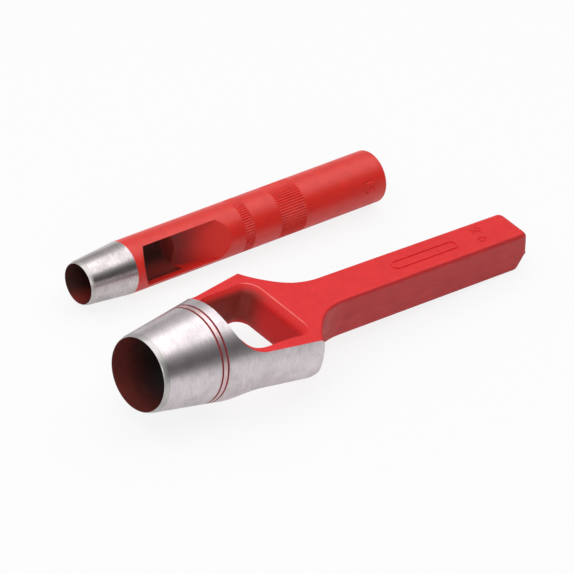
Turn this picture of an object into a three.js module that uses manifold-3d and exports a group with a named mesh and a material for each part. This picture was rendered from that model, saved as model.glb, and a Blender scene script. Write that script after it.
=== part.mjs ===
// Two one-piece steel belt punches of different patterns, lying side by side on a bench.
// The arch punch has a conical head, two arms round a window and a flat bar handle.
// The round punch has a conical head, a milled side window, two knurled bands and a round shank.
// Millimetres, +Z up. The arch punch points along +X, with both cutting edges at the low X end.
import * as THREE from "three";
import { mergeVertices } from "three/addons/utils/BufferGeometryUtils.js";
import Module from "manifold-3d";

const wasm = await Module();
wasm.setup();

// Arch punch, sizes along its own axis from the cutting edge
const ARCH_LENGTH = 178;
const ARCH_CUT_RADIUS = 13.2;
const ARCH_EDGE_LAND = 0.08;
const ARCH_BORE_REAR_RADIUS = 13.6;
const ARCH_BORE_LENGTH = 46;
const ARCH_BEVEL_LENGTH = 2.5;
const ARCH_BEVEL_RADIUS = 14.1;
const ARCH_RING_POSITION = 23.4;
const ARCH_RING_SPACING = 2.2;
const ARCH_RING_RADIUS = 17.37;
const ARCH_RING_WIDTH = 0.45;
const ARCH_RING_DEPTH = 0.25;
const ARCH_BARREL_LENGTH = 29.6;
const ARCH_SCOOP_RADIUS = 13;
const ARCH_SHOULDER_POSITION = 64.3;
const ARCH_SHOULDER_RADIUS = 23.33;
const ARCH_THICKNESS = 15.3;
const ARCH_EDGE_RADIUS = 1.3;

// Window between the arms
const ARCH_WINDOW_FRONT = 36;
const ARCH_WINDOW_REAR = 62.4;
const ARCH_WINDOW_WIDTH = 29.6;
const ARCH_WINDOW_FRONT_CORNER = 6;
const ARCH_WINDOW_REAR_CORNER = 3.8;
const ARCH_RIM_RADIUS = 1.2;

// Neck and handle
const ARCH_NECK_POSITION = 88.8;
const ARCH_NECK_FILLET = 28.6;
const ARCH_HANDLE_WIDTH = 14.86;
const ARCH_END_CORNER = 2.6;
const ARCH_END_UPPER_SETBACK = 1.8;
const ARCH_END_LOWER_SETBACK = 3.6;
const ARCH_END_EDGE_RADIUS = 1.3;

// Raised border of the bare nameplate field on the handle
const ARCH_FIELD_POSITION = 133;
const ARCH_FIELD_LENGTH = 32.5;
const ARCH_FIELD_WIDTH = 4.8;
const ARCH_FIELD_BORDER = 0.5;
const ARCH_FIELD_HEIGHT = 0.25;
const ARCH_FIELD_ROOT = 0.4;

// Round punch, sizes along its own axis from the cutting edge
const ROUND_LENGTH = 131.8;
const ROUND_RADIUS = 9.6;
const ROUND_CUT_RADIUS = 7.4;
const ROUND_EDGE_LAND = 0.06;
const ROUND_BORE_RADIUS = 7.6;
const ROUND_BORE_LENGTH = 43;
const ROUND_DRILL_POINT = 2.6;
const ROUND_BEVEL_LENGTH = 1.5;
const ROUND_BEVEL_RADIUS = 8;
const ROUND_CONE_LENGTH = 19;
const ROUND_END_RADIUS = 1.3;

// Milled side window of the round punch
const ROUND_WINDOW_FRONT = 25.1;
const ROUND_WINDOW_WIDTH = 14.3;
const ROUND_WINDOW_FLOOR = 1.5;
const ROUND_RAMP_FOOT = 43.5;
const ROUND_RAMP_REAR = 60.7;
const ROUND_RAMP_DEPTH = 3.84;
const ROUND_WINDOW_TURN = 65;

// Knurled bands of the round punch
const KNURL_TEETH = 70;
const KNURL_DEPTH = 0.3;
const KNURL_FRONT_START = 67;
const KNURL_FRONT_LENGTH = 4.4;
const KNURL_REAR_START = 83.2;
const KNURL_REAR_LENGTH = 11.7;

// How the two punches lie
const ROUND_OFFSET_X = 25.46;
const ROUND_OFFSET_Y = 59.18;
const ROUND_YAW = -2.72;

// One overrun serves all cuts
const OVERRUN = 3;

// Facets
const TURN_FACETS = 96;
const ARC_FACETS = 12;
const ROUNDING_FACETS = 3;

// A half of any size, and a quarter of a full turn
const HALF_SHARE = 1 / 2;
const QUARTER_TURN = Math.PI / 2;

// A closed geometry as a solid. Its faces are turned outwards if its volume comes out negative.
function solidOf(geometry) {
  const bare = geometry.clone();
  bare.deleteAttribute("normal");
  bare.deleteAttribute("uv");
  const merged = mergeVertices(bare);
  const at = merged.attributes.position.array;
  const kept = [];
  let volume = 0;
  for (let i = 0; i < merged.index.count; i += 3) {
    const [a, b, c] = [0, 1, 2].map((k) => merged.index.getX(i + k));
    if (a === b || b === c || c === a) continue;
    kept.push(a, b, c);
    const [p, q, r] = [a, b, c].map((k) => new THREE.Vector3().fromArray(at, 3 * k));
    volume += p.dot(q.cross(r));
  }
  if (volume < 0) kept.reverse();
  const mesh = { numProp: 3, vertProperties: new Float32Array(at), triVerts: new Uint32Array(kept) };
  return new wasm.Manifold(new wasm.Mesh(mesh));
}

// A solid as a geometry for a mesh
function geometryOf(solid) {
  const cut = solid.getMesh();
  const geometry = new THREE.BufferGeometry();
  geometry.setAttribute("position", new THREE.BufferAttribute(new Float32Array(cut.vertProperties), 3));
  geometry.setIndex(new THREE.BufferAttribute(new Uint32Array(cut.triVerts), 1));
  const faceted = geometry.toNonIndexed();
  faceted.computeVertexNormals();
  return faceted;
}

// A solid of revolution about X. The outline runs from the front to the rear as [x, radius] pairs.
function turned(outline) {
  const points = outline.map(([x, radius]) => new THREE.Vector2(radius, x));
  return solidOf(new THREE.LatheGeometry(points, TURN_FACETS).rotateZ(-QUARTER_TURN));
}

// An outline in X and Y, raised along Z between two heights
function raised(shape, bottom, top) {
  const settings = { depth: top - bottom, bevelEnabled: false, curveSegments: ARC_FACETS };
  return solidOf(new THREE.ExtrudeGeometry(shape, settings).translate(0, 0, bottom));
}

// An outline in X and Z, run along Y between two sides
function run(shape, side) {
  const settings = { depth: side + side, bevelEnabled: false, curveSegments: ARC_FACETS };
  const geometry = new THREE.ExtrudeGeometry(shape, settings).rotateX(QUARTER_TURN);
  return solidOf(geometry.translate(0, side, 0));
}

// The points of an arc from one angle to another, in quarter turns
function arc(x, y, radius, from, to) {
  const points = [];
  for (let i = 0; i <= ARC_FACETS; i += 1) {
    const angle = (from + ((to - from) * i) / ARC_FACETS) * QUARTER_TURN;
    points.push(new THREE.Vector2(x + radius * Math.cos(angle), y + radius * Math.sin(angle)));
  }
  return points;
}

// An outline mirrored across its X axis and closed
function mirrored(points) {
  const other = points.map((p) => new THREE.Vector2(p.x, -p.y)).reverse();
  return new THREE.Shape([...points, ...other]);
}

// Radius of the arch punch's turned cone behind the second ring
const archTaper =
  (ARCH_SHOULDER_RADIUS - ARCH_RING_RADIUS) /
  (ARCH_SHOULDER_POSITION - ARCH_RING_POSITION - ARCH_RING_SPACING);
const archRadius = (x) =>
  ARCH_RING_RADIUS + archTaper * (x - ARCH_RING_POSITION - ARCH_RING_SPACING);

// Radius of the head between the bevel and the second ring
const headTaper =
  (ARCH_RING_RADIUS - ARCH_BEVEL_RADIUS) /
  (ARCH_RING_POSITION + ARCH_RING_SPACING - ARCH_BEVEL_LENGTH);
const headRadius = (x) => ARCH_BEVEL_RADIUS + headTaper * (x - ARCH_BEVEL_LENGTH);

// The four points of one ring groove
function ringGroove(x) {
  const side = ARCH_RING_WIDTH * HALF_SHARE;
  const floor = side * HALF_SHARE;
  return [
    [x - side, headRadius(x - side)],
    [x - floor, headRadius(x - floor) - ARCH_RING_DEPTH],
    [x + floor, headRadius(x + floor) - ARCH_RING_DEPTH],
    [x + side, archRadius(x + side)],
  ];
}

function archHead() {
  const second = ARCH_RING_POSITION + ARCH_RING_SPACING;
  const first = ringGroove(ARCH_RING_POSITION);
  first[3][1] = headRadius(first[3][0]);
  return turned([
    [0, 0],
    [0, ARCH_CUT_RADIUS + ARCH_EDGE_LAND],
    [ARCH_BEVEL_LENGTH, ARCH_BEVEL_RADIUS],
    ...first,
    ...ringGroove(second),
    [ARCH_SHOULDER_POSITION, ARCH_SHOULDER_RADIUS],
    [ARCH_LENGTH + OVERRUN, archRadius(ARCH_LENGTH + OVERRUN)],
    [ARCH_LENGTH + OVERRUN, 0],
  ]);
}

// Flat slab of shoulders, neck and handle with rounded long edges
function archSlab() {
  const half = ARCH_HANDLE_WIDTH * HALF_SHARE - ARCH_EDGE_RADIUS;
  const centre = ARCH_HANDLE_WIDTH * HALF_SHARE + ARCH_NECK_FILLET;
  const fillet = ARCH_NECK_FILLET + ARCH_EDGE_RADIUS;
  const wide = archRadius(ARCH_SHOULDER_POSITION) + OVERRUN;
  const start = Math.asin((centre - wide) / fillet) / QUARTER_TURN - 2;
  const corner = Math.max(ARCH_END_CORNER - ARCH_EDGE_RADIUS, 0);
  const rear = ARCH_LENGTH - ARCH_EDGE_RADIUS;
  const upper = [
    new THREE.Vector2(ARCH_BARREL_LENGTH * HALF_SHARE, wide),
    ...arc(ARCH_NECK_POSITION, centre, fillet, start, -1),
    ...arc(rear - corner, half - corner, corner, 1, 0),
  ];
  const settings = {
    depth: ARCH_THICKNESS - ARCH_EDGE_RADIUS - ARCH_EDGE_RADIUS,
    bevelEnabled: true,
    bevelSize: ARCH_EDGE_RADIUS,
    bevelThickness: ARCH_EDGE_RADIUS,
    bevelSegments: ROUNDING_FACETS,
    steps: 1,
  };
  const geometry = new THREE.ExtrudeGeometry(mirrored(upper), settings);
  return solidOf(geometry.translate(0, 0, ARCH_EDGE_RADIUS - ARCH_THICKNESS * HALF_SHARE));
}

// Full-round barrel at the front, ending in a concave scoop above and below the slab
function archBarrel() {
  const flat = ARCH_THICKNESS * HALF_SHARE;
  const centre = flat + ARCH_SCOOP_RADIUS;
  const rise = centre - archRadius(ARCH_BARREL_LENGTH);
  const foot = ARCH_BARREL_LENGTH + Math.sqrt(ARCH_SCOOP_RADIUS ** 2 - rise ** 2);
  const high = Math.max(ARCH_SHOULDER_RADIUS, centre) + OVERRUN;
  const upper = [
    new THREE.Vector2(-OVERRUN, high),
    new THREE.Vector2(foot - ARCH_SCOOP_RADIUS, high),
    ...arc(foot, centre, ARCH_SCOOP_RADIUS, 2, 3),
  ];
  return run(mirrored(upper), high);
}

// Angle of the drafted end face from a setback over half the thickness
const draft = (setback) => Math.atan2(setback, ARCH_THICKNESS * HALF_SHARE);

// Where the flat top or bottom ends and the rounding of the struck end begins
function endOfFlat(setback) {
  const angle = draft(setback);
  const height = ARCH_THICKNESS * HALF_SHARE - ARCH_END_EDGE_RADIUS;
  return ARCH_LENGTH - (ARCH_END_EDGE_RADIUS + height * Math.sin(angle)) / Math.cos(angle);
}

// Everything in front of the drafted, rounded end that takes the hammer
function archEnd() {
  const high = ARCH_SHOULDER_RADIUS + ARCH_SCOOP_RADIUS;
  const centre = ARCH_THICKNESS * HALF_SHARE - ARCH_END_EDGE_RADIUS;
  const above = draft(ARCH_END_UPPER_SETBACK) / QUARTER_TURN;
  const below = draft(ARCH_END_LOWER_SETBACK) / QUARTER_TURN;
  const top = endOfFlat(ARCH_END_UPPER_SETBACK);
  const bottom = endOfFlat(ARCH_END_LOWER_SETBACK);
  const shape = new THREE.Shape([
    new THREE.Vector2(-OVERRUN, high),
    new THREE.Vector2(top, high),
    ...arc(top, centre, ARCH_END_EDGE_RADIUS, 1, above),
    new THREE.Vector2(ARCH_LENGTH, 0),
    ...arc(bottom, -centre, ARCH_END_EDGE_RADIUS, -below, -1),
    new THREE.Vector2(bottom, -high),
    new THREE.Vector2(-OVERRUN, -high),
  ]);
  return run(shape, high);
}

function archBore() {
  return turned([
    [-OVERRUN, 0],
    [-OVERRUN, ARCH_CUT_RADIUS],
    [0, ARCH_CUT_RADIUS],
    [ARCH_BORE_LENGTH, ARCH_BORE_REAR_RADIUS],
    [ARCH_BORE_LENGTH, 0],
  ]);
}

// The window's outline with its corners, from a given front
function windowOutline(front, corner) {
  const side = ARCH_WINDOW_WIDTH * HALF_SHARE;
  const rear = ARCH_WINDOW_REAR - ARCH_WINDOW_REAR_CORNER;
  return mirrored([
    ...arc(front + corner, side - corner, corner, 2, 1),
    ...arc(rear, side - ARCH_WINDOW_REAR_CORNER, ARCH_WINDOW_REAR_CORNER, 1, 0),
  ]);
}

// Straight walls through the slab and the scoops, with rounded rims on both faces of the slab
function archWindow() {
  const high = ARCH_SHOULDER_RADIUS + ARCH_SCOOP_RADIUS;
  const walls = raised(windowOutline(ARCH_WINDOW_FRONT, ARCH_WINDOW_FRONT_CORNER), -high, high);
  const settings = {
    depth: ARCH_THICKNESS - ARCH_RIM_RADIUS - ARCH_RIM_RADIUS,
    bevelEnabled: true,
    bevelSize: -ARCH_RIM_RADIUS,
    bevelOffset: ARCH_RIM_RADIUS,
    bevelThickness: ARCH_RIM_RADIUS,
    bevelSegments: ROUNDING_FACETS,
    steps: 1,
  };
  const front = ARCH_BARREL_LENGTH + ARCH_SCOOP_RADIUS;
  const outline = windowOutline(front, ARCH_RIM_RADIUS + ARCH_RIM_RADIUS);
  const rims = new THREE.ExtrudeGeometry(outline, settings);
  rims.translate(0, 0, ARCH_RIM_RADIUS - ARCH_THICKNESS * HALF_SHARE);
  return walls.add(solidOf(rims));
}

// Outline of a bar with half-round ends, centred on the nameplate field
function stadium(length, width) {
  const radius = width * HALF_SHARE;
  const reach = length * HALF_SHARE - radius;
  return [
    ...arc(ARCH_FIELD_POSITION + reach, 0, radius, -1, 1),
    ...arc(ARCH_FIELD_POSITION - reach, 0, radius, 1, 3),
  ];
}

function archFieldBorder() {
  const shape = new THREE.Shape(stadium(ARCH_FIELD_LENGTH, ARCH_FIELD_WIDTH));
  const border = ARCH_FIELD_BORDER + ARCH_FIELD_BORDER;
  const inner = stadium(ARCH_FIELD_LENGTH - border, ARCH_FIELD_WIDTH - border);
  shape.holes.push(new THREE.Path(inner));
  const top = ARCH_THICKNESS * HALF_SHARE;
  return raised(shape, top - ARCH_FIELD_ROOT, top + ARCH_FIELD_HEIGHT);
}

function archPunch() {
  const blank = archHead().intersect(archSlab().add(archBarrel())).intersect(archEnd());
  const hollow = blank.subtract(archBore()).subtract(archWindow());
  return hollow.add(archFieldBorder());
}

// Round punch, turned outside
function roundBlank() {
  const centre = ROUND_LENGTH - ROUND_END_RADIUS;
  const inner = ROUND_RADIUS - ROUND_END_RADIUS;
  const rounding = [];
  for (let i = 0; i <= ROUNDING_FACETS; i += 1) {
    const angle = (QUARTER_TURN * i) / ROUNDING_FACETS;
    const x = centre + ROUND_END_RADIUS * Math.sin(angle);
    rounding.push([x, inner + ROUND_END_RADIUS * Math.cos(angle)]);
  }
  return turned([
    [0, 0],
    [0, ROUND_CUT_RADIUS + ROUND_EDGE_LAND],
    [ROUND_BEVEL_LENGTH, ROUND_BEVEL_RADIUS],
    [ROUND_CONE_LENGTH, ROUND_RADIUS],
    ...rounding,
    [ROUND_LENGTH, 0],
  ]);
}

function roundBore() {
  return turned([
    [-OVERRUN, 0],
    [-OVERRUN, ROUND_CUT_RADIUS],
    [0, ROUND_CUT_RADIUS],
    [ROUND_BORE_LENGTH, ROUND_BORE_RADIUS],
    [ROUND_BORE_LENGTH + ROUND_DRILL_POINT, 0],
  ]);
}

// Square-fronted side window that opens the bore and ends in a flat ramp for the slugs
function roundWindow() {
  const high = ROUND_RADIUS + OVERRUN;
  const slope = (ROUND_RADIUS + ROUND_RAMP_DEPTH) / (ROUND_RAMP_REAR - ROUND_RAMP_FOOT);
  const shape = new THREE.Shape([
    new THREE.Vector2(ROUND_WINDOW_FRONT, high),
    new THREE.Vector2(ROUND_WINDOW_FRONT, -ROUND_WINDOW_FLOOR),
    new THREE.Vector2(ROUND_RAMP_FOOT, -ROUND_WINDOW_FLOOR),
    new THREE.Vector2(ROUND_RAMP_FOOT, -ROUND_RAMP_DEPTH),
    new THREE.Vector2(ROUND_RAMP_REAR + OVERRUN / slope, high),
  ]);
  const turn = THREE.MathUtils.degToRad(ROUND_WINDOW_TURN);
  const settings = { depth: ROUND_WINDOW_WIDTH, bevelEnabled: false };
  const geometry = new THREE.ExtrudeGeometry(shape, settings).rotateX(QUARTER_TURN);
  return solidOf(geometry.translate(0, ROUND_WINDOW_WIDTH * HALF_SHARE, 0).rotateX(turn));
}

// Straight grooves cut all round one band
function knurl(start, length) {
  const shape = new THREE.Shape();
  shape.absarc(0, 0, ROUND_RADIUS + OVERRUN, 0, QUARTER_TURN * 4);
  const tip = ROUND_RADIUS + KNURL_DEPTH * HALF_SHARE * HALF_SHARE;
  const teeth = [];
  for (let i = 0; i < KNURL_TEETH * 2; i += 1) {
    const angle = (Math.PI * i) / KNURL_TEETH;
    const radius = i % 2 ? ROUND_RADIUS - KNURL_DEPTH : tip;
    teeth.push(new THREE.Vector2(radius * Math.cos(angle), radius * Math.sin(angle)));
  }
  shape.holes.push(new THREE.Path(teeth));
  const settings = { depth: length, bevelEnabled: false, curveSegments: ARC_FACETS * 2 };
  const geometry = new THREE.ExtrudeGeometry(shape, settings).rotateY(QUARTER_TURN);
  return solidOf(geometry.translate(start, 0, 0));
}

function roundPunch() {
  return roundBlank()
    .subtract(roundBore())
    .subtract(roundWindow())
    .subtract(knurl(KNURL_FRONT_START, KNURL_FRONT_LENGTH))
    .subtract(knurl(KNURL_REAR_START, KNURL_REAR_LENGTH));
}

// Red lacquered tool steel
const lacquer = { color: 0xd8262b, roughness: 0.42, metalness: 0 };

const arch = new THREE.Mesh(geometryOf(archPunch()), new THREE.MeshStandardMaterial(lacquer));
arch.name = "arch_punch";
const round = new THREE.Mesh(geometryOf(roundPunch()), new THREE.MeshStandardMaterial(lacquer));
round.name = "round_punch";

// The arch punch lies on the underside of its barrel and on the lower edge of its struck end
const barrelDrop = archRadius(ARCH_BARREL_LENGTH);
const heel = endOfFlat(ARCH_END_LOWER_SETBACK);
const drop = barrelDrop - ARCH_THICKNESS * HALF_SHARE;
const tilt = Math.atan2(drop, heel - ARCH_BARREL_LENGTH);
const archPlace = new THREE.Group();
archPlace.add(arch);
archPlace.rotation.y = tilt;
archPlace.position.z = ARCH_BARREL_LENGTH * Math.sin(tilt) + barrelDrop * Math.cos(tilt);

// The round punch lies on its shank beside it
const roundPlace = new THREE.Group();
roundPlace.add(round);
roundPlace.rotation.z = THREE.MathUtils.degToRad(ROUND_YAW);
roundPlace.position.set(ROUND_OFFSET_X, ROUND_OFFSET_Y, ROUND_RADIUS);

// The origin is the bottom centre of the pair's box
const pair = new THREE.Group();
pair.add(archPlace, roundPlace);
pair.updateMatrixWorld(true);
const centre = new THREE.Box3().setFromObject(pair, true).getCenter(new THREE.Vector3());
pair.position.set(-centre.x, -centre.y, 0);

const punches = new THREE.Group();
punches.add(pair);

export default punches;
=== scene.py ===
"""Two red lacquered belt punches on a pale floor: an arch punch and a round punch.

Shapes are worked out in millimetres in each punch's own frame, which runs along X from its
cutting edge to its struck end. Finished meshes are in metres in the model's frame.
"""

from __future__ import annotations

import logging
import math
from dataclasses import dataclass, field
from enum import Enum, IntEnum

import bpy
import numpy as np
from mathutils import Euler, Matrix, Vector


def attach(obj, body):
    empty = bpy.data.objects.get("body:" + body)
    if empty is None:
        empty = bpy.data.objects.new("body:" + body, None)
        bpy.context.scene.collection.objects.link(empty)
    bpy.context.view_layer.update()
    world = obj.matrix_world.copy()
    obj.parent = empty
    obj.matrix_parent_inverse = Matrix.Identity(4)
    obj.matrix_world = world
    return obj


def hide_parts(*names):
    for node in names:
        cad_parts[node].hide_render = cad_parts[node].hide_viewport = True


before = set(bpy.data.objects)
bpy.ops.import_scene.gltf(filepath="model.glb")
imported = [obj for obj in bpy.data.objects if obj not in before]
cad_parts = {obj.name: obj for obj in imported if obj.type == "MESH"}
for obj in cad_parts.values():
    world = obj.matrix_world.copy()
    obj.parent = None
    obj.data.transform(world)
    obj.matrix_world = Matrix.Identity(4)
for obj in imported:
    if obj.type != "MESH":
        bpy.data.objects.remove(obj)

log = logging.getLogger("belt_punches")

# The picture's side in pixels, a millimetre in metres, and a small length in millimetres
PIXELS = 574
MM = 0.001
TOLERANCE = 0.01

# The rod that strikes a stroke: its facets, and the angles and the number of the rings on each
# of its round ends
ROD_FACETS = 14
ROD_CAP_ANGLES = (8, 72)
ROD_CAP_RINGS = 4

# Shading: the angle in degrees past which an edge stays sharp, and the weight of large faces
SHARP_ANGLE = 32
FACE_WEIGHT = 90

# Finishes: the bumps' heights in metres, how dark a pit in the lacquer is, the scales of streaks
# along and across the punch, and a height in millimetres that no punch reaches
GRAIN_HEIGHT = 0.00003
PEEL_HEIGHT = 0.00012
PIT_SHADE = 0.55
STREAKS = {"Along": 0.12, "Around": 1.5}
OUT_OF_REACH = (90.0, 91.0)

Pair = tuple[float, float]
Triple = tuple[float, float, float]
Solid = bpy.types.Object
Socket = bpy.types.NodeSocket
Tree = bpy.types.NodeTree


class Zone(IntEnum):
    """The finish of a face, as the index of its material slot."""

    STEEL = 0
    BEVEL = 1
    LACQUER = 2
    # The bores' dark paint, darkened further as painted shade where the bore lies deep in shadow
    SHADED_BORE = 3
    # The red paint left in the ring grooves, darkened as painted shade
    RING = 4
    STRIP = 5
    # Lacquer on the slab's sides and the lower part of its upper edge, darkened as painted shade
    SIDE = 6
    # Lacquer darkened inside the windows, fading back to the lacquer where more light falls:
    # painted shade
    WALL = 7
    # Lighter, pinker lacquer on the window's lip: a painted highlight
    HIGHLIT_LIP = 8


class Cut(Enum):
    """How one solid works on another."""

    TAKE = "DIFFERENCE"
    KEEP = "INTERSECT"
    JOIN = "UNION"


@dataclass(frozen=True)
class Place:
    """Where a punch lies: the middle of its cutting edge, and its turn, in the model's frame."""

    origin: Triple
    turn: Triple

    def matrix(self) -> Matrix:
        """The matrix from the punch's millimetres to the model's metres."""
        turned = Euler([math.radians(a) for a in self.turn]).to_matrix().to_4x4()
        return Matrix.Translation(Vector(self.origin) * MM) @ turned @ Matrix.Scale(MM, 4)


# Surfaces on grids


def arc(centre: Pair, radius: float, start: float, end: float, steps: int) -> np.ndarray:
    """Points of an arc: centre plus radius times (cos, sin) of an angle that goes in even steps.

    Args:
        centre: The arc's centre.
        radius: Its radius.
        start: The first angle in degrees.
        end: The last angle in degrees.
        steps: How many steps it has.

    Returns:
        An array of points, one row each.
    """
    angle = np.radians(np.linspace(start, end, steps + 1))
    return np.stack([centre[0] + radius * np.cos(angle), centre[1] + radius * np.sin(angle)], 1)


def ease(values: np.ndarray, start: float, end: float) -> np.ndarray:
    """A smooth step: 3 s² − 2 s³, with s running from 0 at start to 1 at end."""
    share = np.clip((values - start) / (end - start), 0, 1)
    return share * share * (3 - 2 * share)


def outline_normals(points: np.ndarray) -> np.ndarray:
    """Outward unit normals: the tangent between the two neighbours, a quarter turn clockwise.

    Args:
        points: A closed outline that runs anticlockwise.

    Returns:
        One normal for each point.
    """
    tangent = np.roll(points, -1, 0) - np.roll(points, 1, 0)
    normal = np.stack([tangent[:, 1], -tangent[:, 0]], 1)
    return normal / np.linalg.norm(normal, axis=1, keepdims=True)


def closed(upper: np.ndarray) -> np.ndarray:
    """An outline closed by its mirror image below the X axis, running anticlockwise.

    Args:
        upper: The points above the axis, from the front to the rear.

    Returns:
        The lower half from the front to the rear, and then the upper half back.
    """
    return np.concatenate([upper * (1, -1), upper[::-1]])


def rounding(depth: np.ndarray, radius: np.ndarray) -> np.ndarray:
    """How far a rounded edge is drawn in: r − √(r² − (r − d)²) at a depth d, and 0 below r.

    Args:
        depth: The depths under the face, one for each height.
        radius: The radii, one for each point of the outline.

    Returns:
        An array of heights by points.
    """
    rise = np.clip(radius[None] - depth[:, None], 0, None)
    return radius[None] - np.sqrt(np.clip(radius[None] ** 2 - rise**2, 0, None))


def linked(name: str, data: bpy.types.ID) -> bpy.types.Object:
    """A new object of the scene that holds this data."""
    made = bpy.data.objects.new(name, data)
    bpy.context.scene.collection.objects.link(made)
    return made


def skin(name: str, rings: np.ndarray, zones: np.ndarray, caps: tuple[int, int]) -> Solid:
    """A closed skin over a stack of rings, with a flat face on the first and the last.

    Point (i, j) of the grid is joined to (i + 1, j) and (i, j + 1), and j closes on itself. Where
    the sum of a · (b × c) over its triangles is negative, the skin is turned to face outwards.

    Args:
        name: The object's name.
        rings: The points, as an array of rings by points by 3.
        zones: One zone for each band between two rings.
        caps: The zones of the first and the last face.

    Returns:
        The new object.
    """
    count, around = rings.shape[:2]
    at = np.arange(count * around).reshape(count, around)
    near, far = at[:-1], at[1:]
    quads = np.stack([near, far, np.roll(far, -1, 1), np.roll(near, -1, 1)], -1).reshape(-1, 4)
    faces = quads.tolist() + [at[0].tolist(), at[-1][::-1].tolist()]
    points = rings.reshape(-1, 3)
    mesh = bpy.data.meshes.new(name)
    mesh.from_pydata(points.tolist(), [], faces)
    for _ in Zone:
        mesh.materials.append(None)
    tags = np.concatenate([np.repeat(zones, around), caps]).astype(np.int32)
    mesh.polygons.foreach_set("material_index", tags)
    mesh.update()
    mesh.calc_loop_triangles()
    tri = np.empty(3 * len(mesh.loop_triangles), np.int32)
    mesh.loop_triangles.foreach_get("vertices", tri)
    a, b, c = (points[tri[k::3]] - points.min(0) for k in range(3))
    if np.einsum("ij,ij->i", a, np.cross(b, c)).sum() < 0:
        mesh.flip_normals()
    return linked(name, mesh)


def revolve(
    name: str,
    profile: np.ndarray,
    zones: list[int],
    facets: int,
    grooves: np.ndarray | float = 0.0,
    caps: tuple[int, int] = (Zone.STEEL, Zone.LACQUER),
) -> Solid:
    """A solid of revolution about X: (x, r cos t, r sin t), with r less the depth of its grooves.

    Args:
        name: The object's name.
        profile: Rows of x and r from the front to the rear.
        zones: One zone for each band.
        facets: How many facets go round.
        grooves: The grooves' depth at each ring and facet.
        caps: The zones of the two end faces.

    Returns:
        The new object.
    """
    turn = np.linspace(0, 2 * np.pi, facets, endpoint=False)
    along, radius = np.repeat(profile[:, :1], facets, 1), np.repeat(profile[:, 1:], facets, 1)
    radius = radius - grooves
    rings = np.stack([along, radius * np.cos(turn), radius * np.sin(turn)], -1)
    return skin(name, rings, np.array(zones), caps)


def prism(
    name: str,
    outline: np.ndarray,
    insets: np.ndarray,
    heights: np.ndarray,
    zone: int,
    bands: np.ndarray | None = None,
    shift: np.ndarray | float = 0.0,
) -> Solid:
    """An outline in X and Y carried along Z, drawn in along its normals by an inset at each height.

    Args:
        name: The object's name.
        outline: The outline's points, running anticlockwise.
        insets: One inset for each height, or one for each height and point.
        heights: The heights, from the bottom to the top.
        zone: The finish of its two end faces, and of its sides where bands is None.
        bands: One finish for each band between two heights.
        shift: How far each height and point is moved along X.

    Returns:
        The new object.
    """
    flat = outline[None] - insets.reshape(len(heights), -1, 1) * outline_normals(outline)[None]
    flat[..., 0] += shift
    rings = np.concatenate([flat, np.repeat(heights[:, None, None], len(outline), 1)], -1)
    if bands is None:
        bands = np.full(len(heights) - 1, zone)
    return skin(name, rings, bands, (zone, zone))


def run(name: str, outline: np.ndarray, side: float, zone: int) -> Solid:
    """An outline in X and Z carried along Y from −side to side. Its two ends are lacquered."""
    rings = np.stack([np.insert(outline, 1, y, axis=1) for y in (-side, side)])
    return skin(name, rings, np.array([zone]), (Zone.LACQUER, Zone.LACQUER))


def tube(name: str, path: np.ndarray, across: np.ndarray, radius: float, zone: int) -> Solid:
    """A round rod with round ends: p + r (cos t · across + sin t · side) at each point p of a path.

    Args:
        name: The object's name.
        path: The points of its centre line.
        across: The unit normal of the struck surface at each point.
        radius: The rod's radius.
        zone: The finish of its faces.

    Returns:
        The new object.
    """
    tangent = np.gradient(path, axis=0)
    tangent /= np.linalg.norm(tangent, axis=1, keepdims=True)
    cap = np.radians(np.linspace(*ROD_CAP_ANGLES, ROD_CAP_RINGS))
    front = path[0] - tangent[0] * radius * np.cos(cap)[:, None]
    rear = path[-1] + tangent[-1] * radius * np.cos(cap[::-1])[:, None]
    centres = np.concatenate([front, path, rear])
    size = np.concatenate([np.sin(cap), np.ones(len(path)), np.sin(cap[::-1])]) * radius
    more = ((ROD_CAP_RINGS, ROD_CAP_RINGS), (0, 0))
    up, ahead = np.pad(across, more, "edge"), np.pad(tangent, more, "edge")
    side = np.cross(ahead, up)
    side /= np.linalg.norm(side, axis=1, keepdims=True)
    turn = np.linspace(0, 2 * np.pi, ROD_FACETS, endpoint=False)[None, :, None]
    out = np.cos(turn) * up[:, None] + np.sin(turn) * side[:, None]
    rings = centres[:, None] + size[:, None, None] * out
    return skin(name, rings, np.full(len(centres) - 1, zone), (zone, zone))


def work(body: Solid, cut: Cut, tool: Solid) -> Solid:
    """Works one solid on another and keeps the faces' zones. The tool is used up.

    Args:
        body: The solid that is worked on.
        cut: How the tool works on it.
        tool: The solid that works on it.

    Returns:
        The body.
    """
    step = body.modifiers.new("work", "BOOLEAN")
    step.operation = cut.value
    step.solver = "MANIFOLD"
    step.object = tool
    graph = bpy.context.evaluated_depsgraph_get()
    made = bpy.data.meshes.new_from_object(body.evaluated_get(graph), depsgraph=graph)
    body.modifiers.clear()
    body.data = made
    bpy.data.objects.remove(tool)
    return body


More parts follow.
